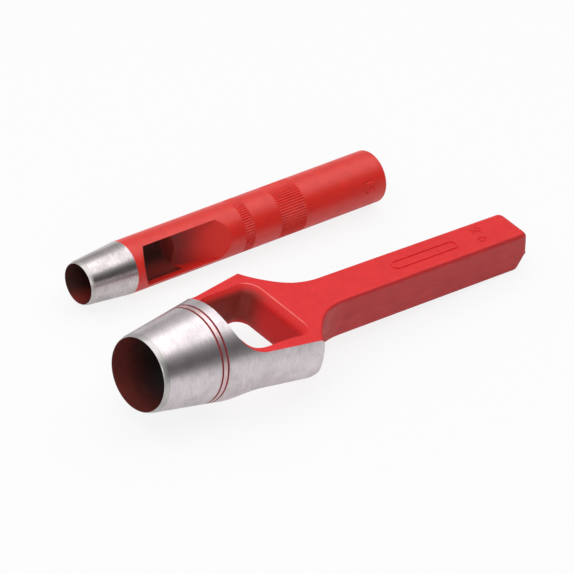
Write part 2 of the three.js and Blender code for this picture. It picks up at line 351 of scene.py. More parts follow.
@dataclass
class StampedNumber:
    """A plain size number, struck with round-bottomed strokes."""

    height: float = 4.0
    width: float = 2.4
    radius: float = 0.45
    lift: float = 0.06
    spacing: float = 0.3

    def strokes(self, digit: str) -> list[np.ndarray]:
        """The centre lines of one digit.

        Args:
            digit: The digit.

        Returns:
            Its strokes, as shares of its width and height about its middle.
        """
        bowl, wide = 0.29, (1.45, 1)
        lines = {
            "1": [[(-0.3, 0.28), (0.06, 0.5)], [(0.06, 0.5), (0.06, -0.5)]],
            "2": [
                np.concatenate([arc((0.0, 0.24), 0.27, 165, -32, 12) * (1.5, 1), [(-0.46, -0.5)]]),
                [(-0.46, -0.5), (0.48, -0.5)],
            ],
            "5": [
                [(0.4, 0.5), (-0.3, 0.5)],
                [(-0.3, 0.5), (-0.36, 0.08)],
                arc((-0.01, -0.2), bowl, 118, -125, 16) * wide,
            ],
            "6": [
                arc((0.0, -0.21), bowl, -20, 175, 13) * wide,
                arc((0.0, -0.21), bowl, 165, 350, 13) * wide,
                arc((0.72, -0.2), 0.76, 172, 112, 10) * wide - (0.42, 0),
            ],
        }
        return [np.array(line, float) for line in lines[digit]]

    def path(self, line: np.ndarray) -> np.ndarray:
        """A stroke in millimetres, with its points set out evenly.

        Args:
            line: The stroke, as shares of the width and height.

        Returns:
            Its points, one row each.
        """
        points = line * (self.width, self.height)
        step = np.linalg.norm(np.diff(points, axis=0), axis=1)
        along = np.concatenate([[0], np.cumsum(step)])
        even = np.linspace(0, along[-1], max(3, int(along[-1] / self.spacing)))
        return np.stack([np.interp(even, along, points[:, k]) for k in (0, 1)], 1)


@dataclass
class ArchPunch:
    """The arch punch: bored conical head, two arms round a window, neck and flat bar handle.

    A pair is an x with a radius, the front and the rear of something, or the start and the end of
    a smooth change. Those named front_ends run back from the window's front, and those named
    rear_ends run up to its rear.
    """

    place: Place = Place((-88.296072, -22.346452, 20.059391), (0.0, 4.10624, 0.0))
    length: float = 179.2
    facets: int = 256
    overrun: float = 3.0

    # The turned head
    cut_radius: float = 13.2
    edge_land: float = 0.08
    honed_edge: Pair = (0.35, 13.5)
    bevel: Pair = (2.1, 13.98)
    bore_rear_radius: float = 13.6
    bore_length: float = 46.0
    ring_at: Pair = (23.4, 25.6)
    ring_radius: float = 17.37
    ring_width: float = 0.75
    ring_depth: float = 0.25
    shoulder: Pair = (64.3, 23.33)
    cone_steps: int = 8
    barrel_length: float = 29.6
    scoop_radius: float = 13.0

    # The forged slab and its soft edges
    thickness: float = 15.3
    upper_edge: float = 1.4
    lower_edge: float = 0.4
    shoulder_edge: float = 3.6
    shoulder_edge_bunching: float = 1.4
    shoulder_bulge: float = 0.7
    shoulder_bulge_power: int = 4
    shoulder_ends: Pair = (67.0, 79.0)
    neck_at: float = 88.8
    neck_radius: float = 28.6
    neck_fill: float = 1.05
    side_draft: float = 0.1
    # The share of the upper edge's rounding that keeps the top's lacquer; below it the lacquer is
    # darkened as painted shade
    unshaded_share_of_edge: float = 0.2
    ridge_height: float = -1.25
    ridge_bands: tuple[float, ...] = (-1.6, -0.3, 0.0, 0.3, 2.5, 5.0)
    parting_ridge: float = 0.07
    handle_width: float = 15.4
    end_corner: float = 2.6
    end_corners_of_change: float = 3.0
    end_setbacks: Pair = (1.55, 3.44)
    end_ridge_step: float = 0.12
    end_edge: float = 1.2
    end_top_edge: float = 2.0

    # The window and its rim
    window: Pair = (36.0, 62.4)
    window_width: float = 29.6
    window_corners: Pair = (3.0, 3.8)
    window_middle_gap: float = 0.6
    rim_depth: float = 3.4
    rim_near: float = 1.0
    rim_far: float = 1.8
    rim_rear: float = 2.4
    rim_below: float = 0.4
    rim_side_ends: Pair = (-4.0, 6.0)
    rim_front_ends: Pair = (1.0, 8.0)
    rim_rear_ends: Pair = (8.0, 0.5)
    lip_width: float = 0.45
    lip_drop: float = 0.15
    lip_side_ends: Pair = (-14.0, -10.0)
    lip_rear_ends: Pair = (3.6, 0.9)

    # The nameplate field and the size number
    field_at: float = 132.6
    field_size: Pair = (31.5, 4.5)
    field_border: float = 0.6
    field_height: float = 0.3
    field_edge: float = 0.08
    field_foot: float = 0.4
    field_cutter_stretch: float = 3.0
    number: StampedNumber = field(default_factory=StampedNumber)
    number_at: tuple[tuple[str, float, float], ...] = (("2", 160.2, 2.7), ("6", 159.2, -2.7))

    def cone(self, x: float) -> float:
        """The radius of the turned cone behind the second ring."""
        share = (x - self.ring_at[1]) / (self.shoulder[0] - self.ring_at[1])
        return self.ring_radius + share * (self.shoulder[1] - self.ring_radius)

    def nose(self, x: float) -> float:
        """The radius of the head between the bevel and the second ring."""
        share = (x - self.bevel[0]) / (self.ring_at[1] - self.bevel[0])
        return self.bevel[1] + share * (self.ring_radius - self.bevel[1])

    def head(self) -> Solid:
        """The turned cone with its bevel and its two ring grooves.

        Returns:
            The head, which runs on past the handle's end.
        """
        side = self.ring_width / 2
        profile = [(0, self.cut_radius + self.edge_land), self.honed_edge, self.bevel]
        zones = [Zone.BEVEL, Zone.BEVEL, Zone.STEEL]
        for at in self.ring_at:
            last = at == self.ring_at[1]
            after = self.cone if last else self.nose
            floor = self.nose(at) - self.ring_depth
            profile += [(at - side, self.nose(at - side)), (at - side / 2, floor)]
            profile += [(at + side / 2, floor), (at + side, after(at + side))]
            # The grooves take the ring paint, darkened as painted shade
            zones += [Zone.RING] * 3 + [Zone.STEEL if last else Zone.STRIP]
        start, end = self.ring_at[1] + side, self.length + self.overrun
        profile += [(x, self.cone(x)) for x in np.linspace(start, end, self.cone_steps + 1)[1:]]
        zones += [Zone.STEEL] * (self.cone_steps - 1)
        return revolve("arch_punch_body", np.array(profile), zones, self.facets)

    def slab(self) -> Solid:
        """The forged slab: shoulders, neck and handle, with soft edges and a parting ridge.

        Its sides and its end are drafted from the ridge, which lies a little below mid-height.
        Under the shoulders the lower edge is rounder, and the wall stands out by the bulge times
        1 − (z / half the thickness)⁴. The end's corners are moved back whole, with their radius.

        Returns:
            The slab.
        """
        half, flat = self.handle_width / 2, self.thickness / 2
        centre = half + self.neck_radius
        wide = self.shoulder[1] + self.overrun
        start = math.degrees(math.asin((centre - wide) / self.neck_radius)) - 180
        neck = arc((self.neck_at, centre), self.neck_radius, start, -90, 60)
        neck[:, 1] += self.neck_fill * (1 - ease(neck[:, 0], *self.shoulder_ends))
        corner = self.end_corner
        tip = arc((self.length - corner, half - corner), corner, 90, 0, 12)
        front = [(self.barrel_length / 2, wide + self.neck_fill)]
        outline = closed(np.concatenate([front, neck, tip]))

        rise = 1 - np.cos(np.radians(np.linspace(0, 90, 9)))
        low = self.shoulder_edge * rise**self.shoulder_edge_bunching - flat
        high = flat - self.upper_edge * rise[::-1]
        heights = np.concatenate([low, self.ridge_height + np.array(self.ridge_bands), high])
        off = heights - self.ridge_height

        under = 1 - ease(outline[:, 0], *self.shoulder_ends)
        change = self.length - self.end_corners_of_change * corner
        rear = ease(outline[:, 0], change, self.length - corner)
        lower = self.lower_edge + (self.shoulder_edge - self.lower_edge) * under
        lower += (self.end_edge - self.lower_edge) * rear
        upper = self.upper_edge + (self.end_top_edge - self.upper_edge) * rear
        insets = rounding(heights + flat, lower) + rounding(flat - heights, upper)
        draft = self.side_draft * np.abs(off) / flat
        insets += (draft - self.parting_ridge * (off == 0))[:, None]
        bulge = self.shoulder_bulge * (1 - (heights / flat) ** self.shoulder_bulge_power)
        insets -= bulge[:, None] * under[None]

        setback = np.where(off > 0, *self.end_setbacks) * np.abs(off) / flat
        setback += self.end_ridge_step * (off != 0)
        at_end = outline[:, 0] > self.length - corner - TOLERANCE
        # Bands below this height take the darker lacquer, which is painted shade on the sides
        top = flat - self.unshaded_share_of_edge * self.upper_edge
        bands = np.where(heights[:-1] > top, Zone.LACQUER, Zone.SIDE)
        shift = -setback[:, None] * at_end[None]
        return prism("slab", outline, insets, heights, Zone.LACQUER, bands, shift)

    def barrel(self) -> Solid:
        """The full round at the front, which ends in a concave scoop above and below the slab.

        Returns:
            A block as wide as it is high, which the head is cut to together with the slab.
        """
        centre = self.thickness / 2 + self.scoop_radius
        rise = centre - self.cone(self.barrel_length)
        foot = self.barrel_length + math.sqrt(self.scoop_radius**2 - rise**2)
        high = centre + self.overrun
        upper = np.concatenate([
            [(-self.overrun, high), (foot - self.scoop_radius, high)],
            arc((foot, centre), self.scoop_radius, 180, 270, 36),
        ])
        return run("barrel", closed(upper), high, Zone.LACQUER)

    def bore(self) -> Solid:
        """The bore behind the cutting edge, a little wider at its rear.

        Returns:
            The solid that cuts it.
        """
        profile = np.array([
            (-self.overrun, self.cut_radius),
            (0, self.cut_radius),
            (self.bore_length, self.bore_rear_radius),
        ])
        caps = (Zone.SHADED_BORE, Zone.SHADED_BORE)
        return revolve("bore", profile, [Zone.SHADED_BORE] * 2, self.facets, caps=caps)

    def opening(self) -> Solid:
        """The window's walls, which flare towards a narrow lip on both faces of the slab.

        The flare is width times s², with s from 0 at the wall to 1 under the lip. It is widest at
        the rear, narrower on the far side and narrowest on the near side, and smaller on the lower
        face. The lip lies nearly flat and runs round the rear of the upper face.

        Returns:
            The solid that cuts it.
        """
        side, (front, rear), (fore, aft) = self.window_width / 2, self.window, self.window_corners
        outline = closed(np.concatenate([
            arc((front + fore, side - fore), fore, 180, 90, 14)[1:],
            [(x, side) for x in np.linspace(front + fore, rear - aft, 14)[1:-1]],
            arc((rear - aft, side - aft), aft, 90, 0, 14),
            [(rear, y) for y in np.linspace(side - aft, self.window_middle_gap, 7)[1:]],
        ]))
        x, y = outline.T
        flat, high = self.thickness / 2, self.shoulder[1] + self.scoop_radius
        share = np.linspace(0, 1, 9)
        edge = np.append(flat - self.lip_drop - self.rim_depth * (1 - share), [flat, high])
        flare = np.append(share**2, [1, 1])
        lip = np.append(share * 0, [self.lip_width] * 2)
        heights = np.append(-edge[::-1], edge)
        flare = np.append(self.rim_below * flare[::-1], flare)
        lip = np.append(0 * lip[::-1], lip)

        width = self.rim_near + (self.rim_far - self.rim_near) * ease(y, *self.rim_side_ends)
        width += (self.rim_rear - width) * ease(x, *(rear - at for at in self.rim_rear_ends))
        insets = flare[:, None] * width * ease(x, *(front + at for at in self.rim_front_ends))
        lip = lip[:, None] * ease(y, *self.lip_side_ends)
        insets += lip * ease(x, *(rear - at for at in self.lip_rear_ends))
        # The window's walls and flare take lacquer darkened as painted shade
        bands = np.full(len(heights) - 1, Zone.WALL)
        # The lip takes a lighter lacquer, which is a painted highlight
        bands[-2:] = Zone.HIGHLIT_LIP, Zone.LACQUER
        return prism("opening", outline, -insets, heights, Zone.LACQUER, bands)

    def field_bar(self, name: str, shrink: float, edge: float) -> Solid:
        """A bar with half-round ends, which stands on the handle as the nameplate field does.

        Args:
            name: The object's name.
            shrink: How much smaller it is than the field, all round.
            edge: How far it is drawn in at its top.

        Returns:
            The bar.
        """
        top = self.thickness / 2
        high = top + self.field_height
        heights = np.array([top - self.field_foot, high - self.field_edge, high])
        radius = self.field_size[1] / 2 - shrink
        reach = self.field_size[0] / 2 - shrink - radius
        outline = np.concatenate([
            arc((self.field_at + reach, 0), radius, -90, 90, 20),
            arc((self.field_at - reach, 0), radius, 90, 270, 20),
        ])
        return prism(name, outline, np.array([0, 0, edge]), heights, Zone.LACQUER)

    def field_rim(self) -> Solid:
        """The raised border of the bare nameplate field.

        Returns:
            The border. The bar that clears its inside is stretched, so that it passes through.
        """
        outer = self.field_bar("border", 0, self.field_edge)
        inner = self.field_bar("inside", self.field_border, -self.field_edge)
        up = Vector((0, 0, self.thickness / 2))
        stretch = Matrix.Scale(self.field_cutter_stretch, 4, (0, 0, 1))
        inner.data.transform(Matrix.Translation(up) @ stretch @ Matrix.Translation(-up))
        return work(outer, Cut.TAKE, inner)

    def stamp(self, body: Solid) -> Solid:
        """Strikes the size number into the top of the handle, read from the far side.

        Args:
            body: The punch.

        Returns:
            The punch with its number.
        """
        number = self.number
        for digit, x, y in self.number_at:
            for line in number.strokes(digit):
                path = number.path(line)
                z = np.full(len(path), self.thickness / 2 + number.lift)
                points = np.stack([x + path[:, 1], y - path[:, 0], z], 1)
                up = np.repeat([[0.0, 0.0, 1.0]], len(path), 0)
                work(body, Cut.TAKE, tube("stroke", points, up, number.radius, Zone.LACQUER))
        return body

    def build(self) -> Solid:
        """The whole punch in its own millimetres.

        Returns:
            The punch: what the head shares with the slab and the barrel, bored, opened and marked.
        """
        body = self.head()
        work(body, Cut.KEEP, work(self.slab(), Cut.JOIN, self.barrel()))
        work(body, Cut.TAKE, self.bore())
        work(body, Cut.TAKE, self.opening())
        work(body, Cut.JOIN, self.field_rim())
        return self.stamp(body)


@dataclass
class RoundPunch:
    """The round punch: bored cutting cone, side window with a ramp, knurled bands and shank.

    The ramp is its foot and its rear along the punch, and its foot's depth below the axis. Each
    band is where it starts and how long it is.
    """

    place: Place = Place((-62.836072, 36.833548, 9.6), (0.0, 0.0, -2.72))
    length: float = 131.8
    radius: float = 9.6
    facets: int = 620
    overrun: float = 3.0

    # The cutting cone and the bore
    cut_radius: float = 7.4
    edge_land: float = 0.06
    honed_edge: Pair = (0.3, 7.64)
    bevel: Pair = (1.5, 8.0)
    cone_length: float = 19.0
    bore_radius: float = 7.6
    bore_length: float = 43.0
    bore_facets: int = 256
    drill_point: float = 2.6
    drill_tip_share: float = 0.02

    # The window
    window_front: float = 24.7
    window_slant: float = 0.85
    window_width: float = 14.3
    window_floor: float = 1.5
    window_turn: float = 65.0
    ramp: Triple = (42.9, 60.7, 4.31)

    # The shank, its knurled bands and the size number
    end_edge: float = 1.3
    end_ring_share: float = 0.5
    bands: tuple[Pair, ...] = ((67.0, 4.4), (83.2, 11.7))
    band_step: float = 0.25
    teeth: int = 62
    groove_depth: float = 0.34
    groove_power: float = 1.2
    number: StampedNumber = field(default_factory=lambda: StampedNumber(radius=0.36, lift=0.02))
    number_at: tuple[tuple[str, float, float], ...] = (("1", 123.2, 146.0), ("5", 123.4, 164.0))

    def blank(self) -> Solid:
        """The turned outside, whose radius drops by depth · (½ − ½ cos(teeth · t))^power in a band.

        Returns:
            The blank.
        """
        step = self.band_step
        profile = [(0, self.cut_radius + self.edge_land), self.honed_edge, self.bevel]
        profile.append((self.cone_length, self.radius))
        zones = [Zone.BEVEL, Zone.BEVEL, Zone.STEEL]
        cut = [0.0] * len(profile)
        for start, size in self.bands:
            for x in (start, start + step, start + size - step, start + size):
                profile.append((x, self.radius))
            cut += [0.0, 1.0, 1.0, 0.0]
        inner = self.radius - self.end_edge
        profile += arc((self.length - self.end_edge, inner), self.end_edge, 90, 0, 8).tolist()
        profile.append((self.length, inner * self.end_ring_share))
        cut += [0.0] * (len(profile) - len(cut))
        zones += [Zone.LACQUER] * (len(profile) - 1 - len(zones))
        turn = np.linspace(0, 2 * np.pi, self.facets, endpoint=False)
        groove = (0.5 - 0.5 * np.cos(self.teeth * turn)) ** self.groove_power
        depth = self.groove_depth * np.array(cut)[:, None] * groove[None]
        return revolve("round_punch_body", np.array(profile), zones, self.facets, depth)

    def bore(self) -> Solid:
        """The bore and the cone that the drill's point leaves.

        Returns:
            The solid that cuts them.
        """
        tip = self.drill_tip_share
        profile = np.array([
            (-self.overrun, self.cut_radius),
            (0, self.cut_radius),
            (self.bore_length, self.bore_radius),
            (self.bore_length + self.drill_point * (1 - tip), self.bore_radius * tip),
        ])
        caps = (Zone.SHADED_BORE, Zone.SHADED_BORE)
        return revolve("bore", profile, [Zone.SHADED_BORE] * 3, self.bore_facets, caps=caps)

    def opening(self) -> Solid:
        """The side window: a slanted front, a flat floor, and a ramp that starts below the floor.

        The front lies further back the deeper it goes, by the slant times the depth.

        Returns:
            The solid that cuts it.
        """
        foot, rear, deep = self.ramp
        high, floor = self.radius + self.overrun, -self.window_floor
        slope = (self.radius + deep) / (rear - foot)
        edge = math.sqrt(self.radius**2 - (self.window_width / 2) ** 2)
        outline = np.array([
            (self.window_front - self.window_slant * (high - edge), high),
            (self.window_front + self.window_slant * (edge - floor), floor),
            (foot, floor),
            (foot, -deep),
            (rear + self.overrun / slope, high),
        ])
        # The window's walls and ramp take lacquer darkened as painted shade
        made = run("opening", outline, self.window_width / 2, Zone.WALL)
        made.data.transform(Matrix.Rotation(math.radians(self.window_turn), 4, "X"))
        return made

    def stamp(self, body: Solid) -> Solid:
        """Strikes the size number round the shank: x along it, and an angle of arc over radius.

        Args:
            body: The punch.

        Returns:
            The punch with its number.
        """
        number = self.number
        for digit, x, place in self.number_at:
            for line in number.strokes(digit):
                path = number.path(line)
                angle = math.radians(place) + path[:, 0] / self.radius
                out = np.stack([np.zeros(len(path)), np.cos(angle), np.sin(angle)], 1)
                points = out * (self.radius + number.lift)
                points[:, 0] = x + path[:, 1]
                work(body, Cut.TAKE, tube("stroke", points, out, number.radius, Zone.LACQUER))
        return body

    def build(self) -> Solid:
        """The whole punch in its own millimetres.

        Returns:
            The punch: the blank, bored, opened and marked.
        """
        body = self.blank()
        work(body, Cut.TAKE, self.bore())
        work(body, Cut.TAKE, self.opening())
        return self.stamp(body)


# Finishes


def opaque(colour: Triple | Socket) -> tuple[float, ...] | Socket:
    """A colour with full alpha. A socket stays as it is."""
    return colour if isinstance(colour, Socket) else (*colour, 1.0)


class Graph:
    """A node tree with short calls to add and join its nodes."""

    def __init__(self, tree: Tree) -> None:
        """Starts from an empty tree."""
        self.tree = tree
        tree.nodes.clear()

    def add(
        self, kind: str, inputs: dict[str | int, object] | None = None, **settings: object
    ) -> bpy.types.Node:
        """A new node.

        Args:
            kind: The node's type.
            inputs: Values, or sockets to join, by the name or the number of the input.
            settings: The node's own options.

        Returns:
            The node.
        """
        node = self.tree.nodes.new(kind)
        for name, value in settings.items():
            setattr(node, name, value)
        for name, value in (inputs or {}).items():
            if isinstance(value, Socket):
                self.tree.links.new(value, node.inputs[name])
            else:
                node.inputs[name].default_value = value
        return node

    def use(self, tree: Tree, vector: Socket, **values: float) -> bpy.types.Node:
        """A group that is read at a vector, with its own values for some of its inputs."""
        return self.add("ShaderNodeGroup", {"Vector": vector, **values}, node_tree=tree)

    def noise(
        self, vector: Socket, scale: Socket | float, detail: float, roughness: float = 0.5
    ) -> Socket:
        """The height of a noise."""
        inputs = {"Vector": vector, "Scale": scale, "Detail": detail, "Roughness": roughness}
        return self.add("ShaderNodeTexNoise", inputs).outputs["Fac"]

    def mix(self, share: Socket | float, first: Socket | float, second: Socket | float) -> Socket:
        """Two numbers mixed by a share."""
        inputs = {"Factor": share, 2: first, 3: second}
        return self.add("ShaderNodeMix", inputs, data_type="FLOAT").outputs[0]

    def tint(self, share: Socket, first: Triple | Socket, second: Triple | Socket) -> Socket:
        """Two colours mixed by a share."""
        inputs = {"Factor": share, 6: opaque(first), 7: opaque(second)}
        return self.add("ShaderNodeMix", inputs, data_type="RGBA").outputs[2]

    def count(self, operation: str, *values: Socket | float) -> Socket:
        """The result of one operation on numbers."""
        return self.add("ShaderNodeMath", dict(enumerate(values)), operation=operation).outputs[0]

    def remap(
        self, value: Socket, given: Pair, wanted: Pair = (0.0, 1.0), way: str = "LINEAR"
    ) -> Socket:
        """A number carried from one range to another, and held at its ends."""
        names = ("Value", "From Min", "From Max", "To Min", "To Max")
        inputs = dict(zip(names, (value, *given, *wanted)))
        return self.add("ShaderNodeMapRange", inputs, interpolation_type=way).outputs[0]

    def surface(self, bump: dict[str, object], inputs: dict[str, object]) -> None:
        """The shader and the material's output.

        Args:
            bump: The bump's inputs.
            inputs: The shader's other inputs.
        """
        normal = self.add("ShaderNodeBump", bump).outputs[0]
        shader = self.add("ShaderNodeBsdfPrincipled", {**inputs, "Normal": normal})
        self.add("ShaderNodeOutputMaterial", {"Surface": shader.outputs[0]})


def group(name: str, inputs: dict[str, float], outputs: tuple[str, ...]) -> Graph:
    """A new shader group that is read at a vector.

    Args:
        name: The group's name.
        inputs: The names and values of its number inputs.
        outputs: The names of its number outputs.

    Returns:
        The graph to build it with.
    """
    tree = bpy.data.node_groups.new(name, "ShaderNodeTree")
    sockets = tree.interface
    sockets.new_socket("Vector", in_out="INPUT", socket_type="NodeSocketVector")
    for label, value in inputs.items():
        made = sockets.new_socket(label, in_out="INPUT", socket_type="NodeSocketFloat")
        made.default_value = value
    for label in outputs:
        sockets.new_socket(label, in_out="OUTPUT", socket_type="NodeSocketFloat")
    return Graph(tree)


def turned_grain() -> Tree:
    """Grain left by grinding: noise drawn out round the axis, with broader cloudy patches.

    Returns:
        The group.
    """
    graph = group("Turned grain", {"Along": 5.0, "Around": 0.35}, ("Shade", "Height"))
    given = graph.add("NodeGroupInput").outputs
    around = {"X": given["Along"], "Y": given["Around"], "Z": given["Around"]}
    scale = graph.add("ShaderNodeCombineXYZ", around).outputs[0]
    drawn = graph.add("ShaderNodeVectorMath", {0: given["Vector"], 1: scale}, operation="MULTIPLY")
    lines = graph.noise(drawn.outputs[0], scale=1.0, detail=4.0, roughness=0.65)
    specks = graph.noise(given["Vector"], scale=2.2, detail=3.0, roughness=0.7)
    clouds = graph.noise(given["Vector"], scale=0.16, detail=2.0)
    fine = graph.mix(0.45, lines, specks)
    shade = graph.remap(graph.mix(0.3, fine, clouds), (0.375, 0.625))
    graph.add("NodeGroupOutput", {"Shade": shade, "Height": fine})
    return graph.tree


def orange_peel() -> Tree:
    """The skin of sprayed lacquer over forged steel: fine dimples, soft lumps and cloudy shade.

    Returns:
        The group.
    """
    graph = group("Orange peel", {"Dimples": 2.6, "Lumps": 0.22}, ("Shade", "Height", "Pits"))
    given = graph.add("NodeGroupInput").outputs
    dimples = graph.noise(given["Vector"], given["Dimples"], detail=2.0)
    lumps = graph.noise(given["Vector"], given["Lumps"], detail=4.0, roughness=0.6)
    height = graph.mix(0.5, dimples, lumps)
    shade = graph.remap(lumps, (0.3, 0.7))
    pits = graph.remap(graph.noise(given["Vector"], scale=0.9, detail=1.0), (0.74, 0.8))
    graph.add("NodeGroupOutput", {"Shade": shade, "Height": height, "Pits": pits})
    return graph.tree


def start_material(name: str, place: Place) -> tuple[Graph, Socket, bpy.types.Material]:
    """Starts a material from Object coordinates turned into the punch's own millimetres.

    Args:
        name: The material's name.
        place: Where the punch lies.

    Returns:
        The material's graph, the coordinates and the material.
    """
    material = bpy.data.materials.new(name)
    material.use_nodes = True
    graph = Graph(material.node_tree)
    own = graph.add("ShaderNodeMapping", {
        "Vector": graph.add("ShaderNodeTexCoord").outputs["Object"],
        "Location": [v * MM for v in place.origin],
        "Rotation": [math.radians(a) for a in place.turn],
        "Scale": (MM, MM, MM),
    }, vector_type="TEXTURE")
    return graph, own.outputs[0], material


@dataclass(frozen=True)
class GroundSteel:
    """Bare ground steel, from its dark to its light colour, which is the smoother of the two."""

    name: str
    dark: Triple
    light: Triple
    roughness: Pair
    along: float
    bump: float

    def material(self, place: Place, groups: dict[str, Tree]) -> bpy.types.Material:
        """Metal whose colour, roughness and height follow the grinding grain.

        Args:
            place: Where the punch lies.
            groups: The shader groups.

        Returns:
            The material.
        """
        graph, own, material = start_material(self.name, place)
        grain = graph.use(groups["grain"], own, Along=self.along).outputs
        colour = graph.tint(grain["Shade"], self.dark, self.light)
        rough = graph.remap(grain["Shade"], (0.0, 1.0), self.roughness[::-1])
        bump = {"Strength": self.bump, "Distance": GRAIN_HEIGHT, "Height": grain["Height"]}
        graph.surface(bump, {"Base Color": colour, "Roughness": rough, "Metallic": 1.0})
        return material


@dataclass(frozen=True)
class Paint:
    """Lacquer or paint over steel, which may show streaks in the steel and fade along the punch.

    Where it fades, its colour goes over to the faded colour between two places along one of the
    punch's axes, or between two heights above or below the middle (lift), whichever has gone
    further. Both are in millimetres. The fades paint shade: the darker end of each fade is painted
    shade in a bore or a window.
    """

    name: str
    deep: Triple
    bright: Triple
    roughness: Pair
    bump: float
    lumps: float = 0.22
    specular: float = 0.5
    streaks: float = 0.0
    fade: Pair | None = None
    fade_along: str = "X"
    lift: Pair = OUT_OF_REACH
    faded: Triple = (0.0, 0.0, 0.0)

    def material(self, place: Place, groups: dict[str, Tree]) -> bpy.types.Material:
        """Paint whose colour, roughness and height follow its orange peel.

        Args:
            place: Where the punch lies.
            groups: The shader groups.

        Returns:
            The material.
        """
        graph, own, material = start_material(self.name, place)
        peel = graph.use(groups["peel"], own, Lumps=self.lumps).outputs
        shade = peel["Shade"]
        if self.streaks:
            lines = graph.use(groups["grain"], own, **STREAKS).outputs["Shade"]
            shade = graph.mix(self.streaks, shade, lines)
        colour = graph.tint(shade, self.deep, self.bright)
        colour = graph.tint(peel["Pits"], colour, tuple(c * PIT_SHADE for c in self.deep))
        # The fade paints shade: its darker end is painted shade in the bores and windows
        if self.fade:
            axes = graph.add("ShaderNodeSeparateXYZ", {0: own}).outputs
            gone = graph.remap(axes[self.fade_along], self.fade, way="SMOOTHSTEP")
            above = graph.remap(graph.count("ABSOLUTE", axes["Z"]), self.lift, way="SMOOTHSTEP")
            colour = graph.tint(graph.count("MAXIMUM", gone, above), colour, self.faded)
        rough = graph.remap(shade, (0.0, 1.0), self.roughness[::-1])
        bump = {"Strength": self.bump, "Distance": PEEL_HEIGHT, "Height": peel["Height"]}
        inputs = {"Base Color": colour, "Roughness": rough, "Specular IOR Level": self.specular}
        graph.surface(bump, inputs)
        return material


Finish = GroundSteel | Paint

ARCH_FINISHES: dict[Zone, Finish] = {
    Zone.STEEL: GroundSteel(
        "arch head steel", dark=(0.50, 0.452, 0.468), light=(0.775, 0.71, 0.733),
        roughness=(0.28, 0.42), along=5.0, bump=0.6,
    ),
    Zone.BEVEL: GroundSteel(
        "arch honed bevel", dark=(0.41, 0.39, 0.38), light=(0.62, 0.60, 0.585),
        roughness=(0.34, 0.46), along=8.0, bump=0.4,
    ),
    Zone.STRIP: GroundSteel(
        "arch strip between the rings", dark=(0.60, 0.43, 0.44), light=(0.80, 0.62, 0.63),
        roughness=(0.3, 0.42), along=5.0, bump=0.4,
    ),
    # The red paint kept in the ring grooves is real; making it far darker than the lacquer is
    # painted shade in the grooves
    Zone.RING: Paint(
        "arch ring paint with painted shade", deep=(0.20, 0.014, 0.018), bright=(0.32, 0.024, 0.03),
        roughness=(0.5, 0.6), bump=0.1,
    ),
    Zone.LACQUER: Paint(
        "arch red lacquer", deep=(0.67, 0.015, 0.017), bright=(0.75, 0.020, 0.022),
        roughness=(0.36, 0.44), bump=0.16, specular=0.26,
    ),
    # Lighter, pinker lacquer along the window's lip, for the highlight on its edge: painted
    # highlight
    Zone.HIGHLIT_LIP: Paint(
        "arch window lip with painted highlight", deep=(0.72, 0.04, 0.04), bright=(0.84, 0.17, 0.155),
        roughness=(0.3, 0.4), bump=0.16, specular=0.6,
    ),
    # Darker lacquer on the forged sides, for the shade on faces turned away from the overhead
    # light: painted shade
    Zone.SIDE: Paint(
        "arch lacquer on the forged sides with painted shade", deep=(0.40, 0.013, 0.015),
        bright=(0.55, 0.019, 0.021), roughness=(0.42, 0.54), bump=0.3, specular=0.4, streaks=0.7,
    ),
    # Lacquer darkened on the window's walls, darkest on the far side and low down, fading to the
    # lacquer on the near side and towards each face: painted shade
    Zone.WALL: Paint(
        "arch window lacquer with painted shade", deep=(0.19, 0.030, 0.021), bright=(0.36, 0.036, 0.026),
        roughness=(0.5, 0.6), bump=0.3, specular=0.3, streaks=0.5,
        fade=(14.2, 3.0), fade_along="Y", lift=(5.0, 7.5), faded=(0.70, 0.019, 0.018),
    ),
    # Dark bore paint that goes darker still from the mouth inwards: painted shade deep in the bore
    Zone.SHADED_BORE: Paint(
        "arch bore paint with painted shade", deep=(0.11, 0.022, 0.018), bright=(0.17, 0.030, 0.024),
        roughness=(0.5, 0.66), bump=0.3, specular=0.15,
        fade=(3.0, 20.0), faded=(0.03, 0.024, 0.022),
    ),
}
ROUND_FINISHES: dict[Zone, Finish] = {
    Zone.STEEL: GroundSteel(
        "round cone steel", dark=(0.38, 0.34, 0.345), light=(0.74, 0.68, 0.685),
        roughness=(0.22, 0.36), along=5.0, bump=0.6,
    ),
    Zone.BEVEL: GroundSteel(
        "round honed bevel", dark=(0.44, 0.42, 0.41), light=(0.67, 0.64, 0.62),
        roughness=(0.34, 0.46), along=8.0, bump=0.4,
    ),
    Zone.LACQUER: Paint(
        "round red lacquer", deep=(0.65, 0.021, 0.013), bright=(0.74, 0.027, 0.017),
        roughness=(0.36, 0.44), bump=0.16,
    ),
    # Lacquer darkened at the ramp's foot deep in the window, fading to the lacquer further back:
    # painted shade
    Zone.WALL: Paint(
        "round ramp lacquer with painted shade", deep=(0.26, 0.028, 0.024), bright=(0.36, 0.036, 0.030),
        roughness=(0.42, 0.52), bump=0.2, specular=0.4,
        fade=(44.5, 54.0), faded=(0.69, 0.024, 0.015),
    ),
    # Dark bore paint, partly the bore's own dark finish and partly painted shade, going over to red
    # lacquer near the window and towards the bore's upper and lower walls
    Zone.SHADED_BORE: Paint(
        "round bore paint with painted shade", deep=(0.055, 0.023, 0.020), bright=(0.10, 0.030, 0.026),
        roughness=(0.45, 0.6), bump=0.3, specular=0.2,
        fade=(41.0, 45.0), lift=(5.6, 9.0), faded=(0.40, 0.045, 0.034),
    ),
}


